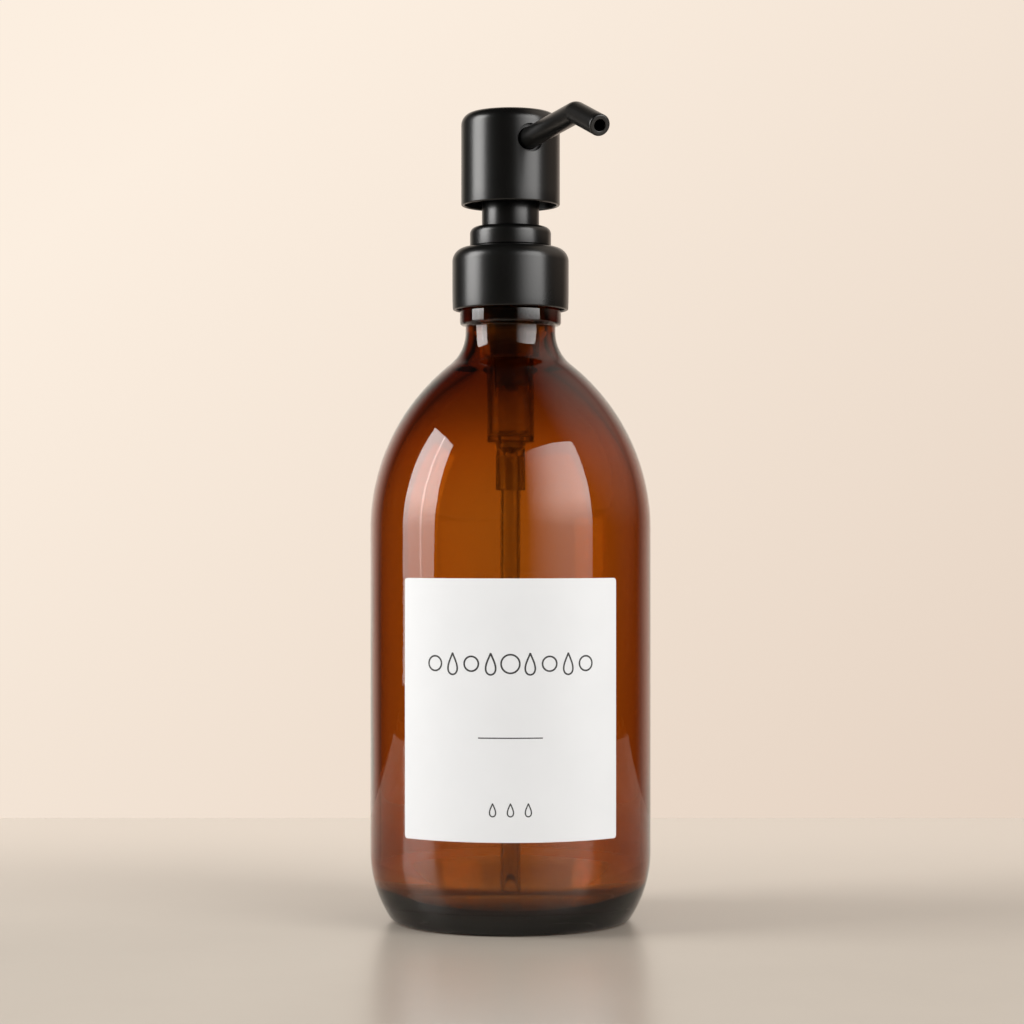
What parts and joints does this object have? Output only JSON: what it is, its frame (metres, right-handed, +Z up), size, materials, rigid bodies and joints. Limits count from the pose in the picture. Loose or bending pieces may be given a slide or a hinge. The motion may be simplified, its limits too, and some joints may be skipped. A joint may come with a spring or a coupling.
{
  "type": "soap pump dispenser",
  "caption": "Round glass bottle with a domed shoulder and a plain front label, under a screw-on press pump with a flat round head and a long drooping spout.",
  "frame": {"origin": "centre of the flat base, on the surface that the bottle stands on", "axes": "+Z up along the bottle and the pump, the label's centre faces -Y, and the spout points 24 degrees from -Y towards +X"},
  "size_m": [0.076, 0.0902, 0.2189],
  "materials": {
    "amber_glass": "clear amber, polished",
    "label_film": "matt white film",
    "seal": "soft, off-white",
    "natural_plastic": "milky, translucent",
    "black_plastic": "black, satin",
    "black_metal": "black powder coat, satin",
    "spring_steel": "bright drawn wire",
    "valve_glass": "polished ball"
  },
  "bodies": {
    "bottle": {"bottle": "amber_glass", "label": "label_film"},
    "seal": {"gasket": "seal"},
    "pump": {"housing": "natural_plastic", "guide_bush": "black_plastic", "ring_cover": "black_metal", "column_sleeve": "black_metal", "ball_cage": "natural_plastic", "dip_tube": "natural_plastic", "spring": "spring_steel"},
    "closure": {"closure_cap": "black_plastic", "collar": "black_metal"},
    "plunger": {"piston": "seal", "piston_rod": "natural_plastic"},
    "head": {"stem": "natural_plastic", "head_core": "black_plastic", "head_shell": "black_metal", "spout": "black_metal"},
    "inlet_valve": {"inlet_ball": "valve_glass"},
    "outlet_valve": {"outlet_ball": "valve_glass"}
  },
  "joints": [
    {"name": "lift_out", "type": "slide", "parent": "bottle", "child": "seal", "axis": [0, 0, 1], "range_m": [0, 0.17]},
    {"name": "thread_rise", "type": "slide", "parent": "seal", "child": "pump", "axis": [0, 0, 1], "range_m": [0, 0.00635]},
    {"name": "closure_turn", "type": "hinge", "parent": "pump", "child": "closure", "pos_m": [0, 0, 0.172], "axis": [0, 0, 1], "range_deg": [0, 540]},
    {"name": "press", "type": "slide", "parent": "pump", "child": "plunger", "axis": [0, 0, -1], "range_m": [0, 0.0105], "stiffness_N_per_m": 450, "springref_m": -0.007, "deforming": ["spring"]},
    {"name": "head_turn", "type": "hinge", "parent": "plunger", "child": "head", "pos_m": [0, 0, 0.2], "axis": [0, 0, 1], "continuous": true},
    {"name": "inlet_lift", "type": "slide", "parent": "pump", "child": "inlet_valve", "axis": [0, 0, 1], "range_m": [0, 0.0011]},
    {"name": "outlet_lift", "type": "slide", "parent": "head", "child": "outlet_valve", "axis": [0, 0, 1], "range_m": [0, 0.0012]}
  ],
  "couplings": [
    {"joint": "thread_rise", "follows": "closure_turn", "m_per_rad": 0.0006737}
  ]
}
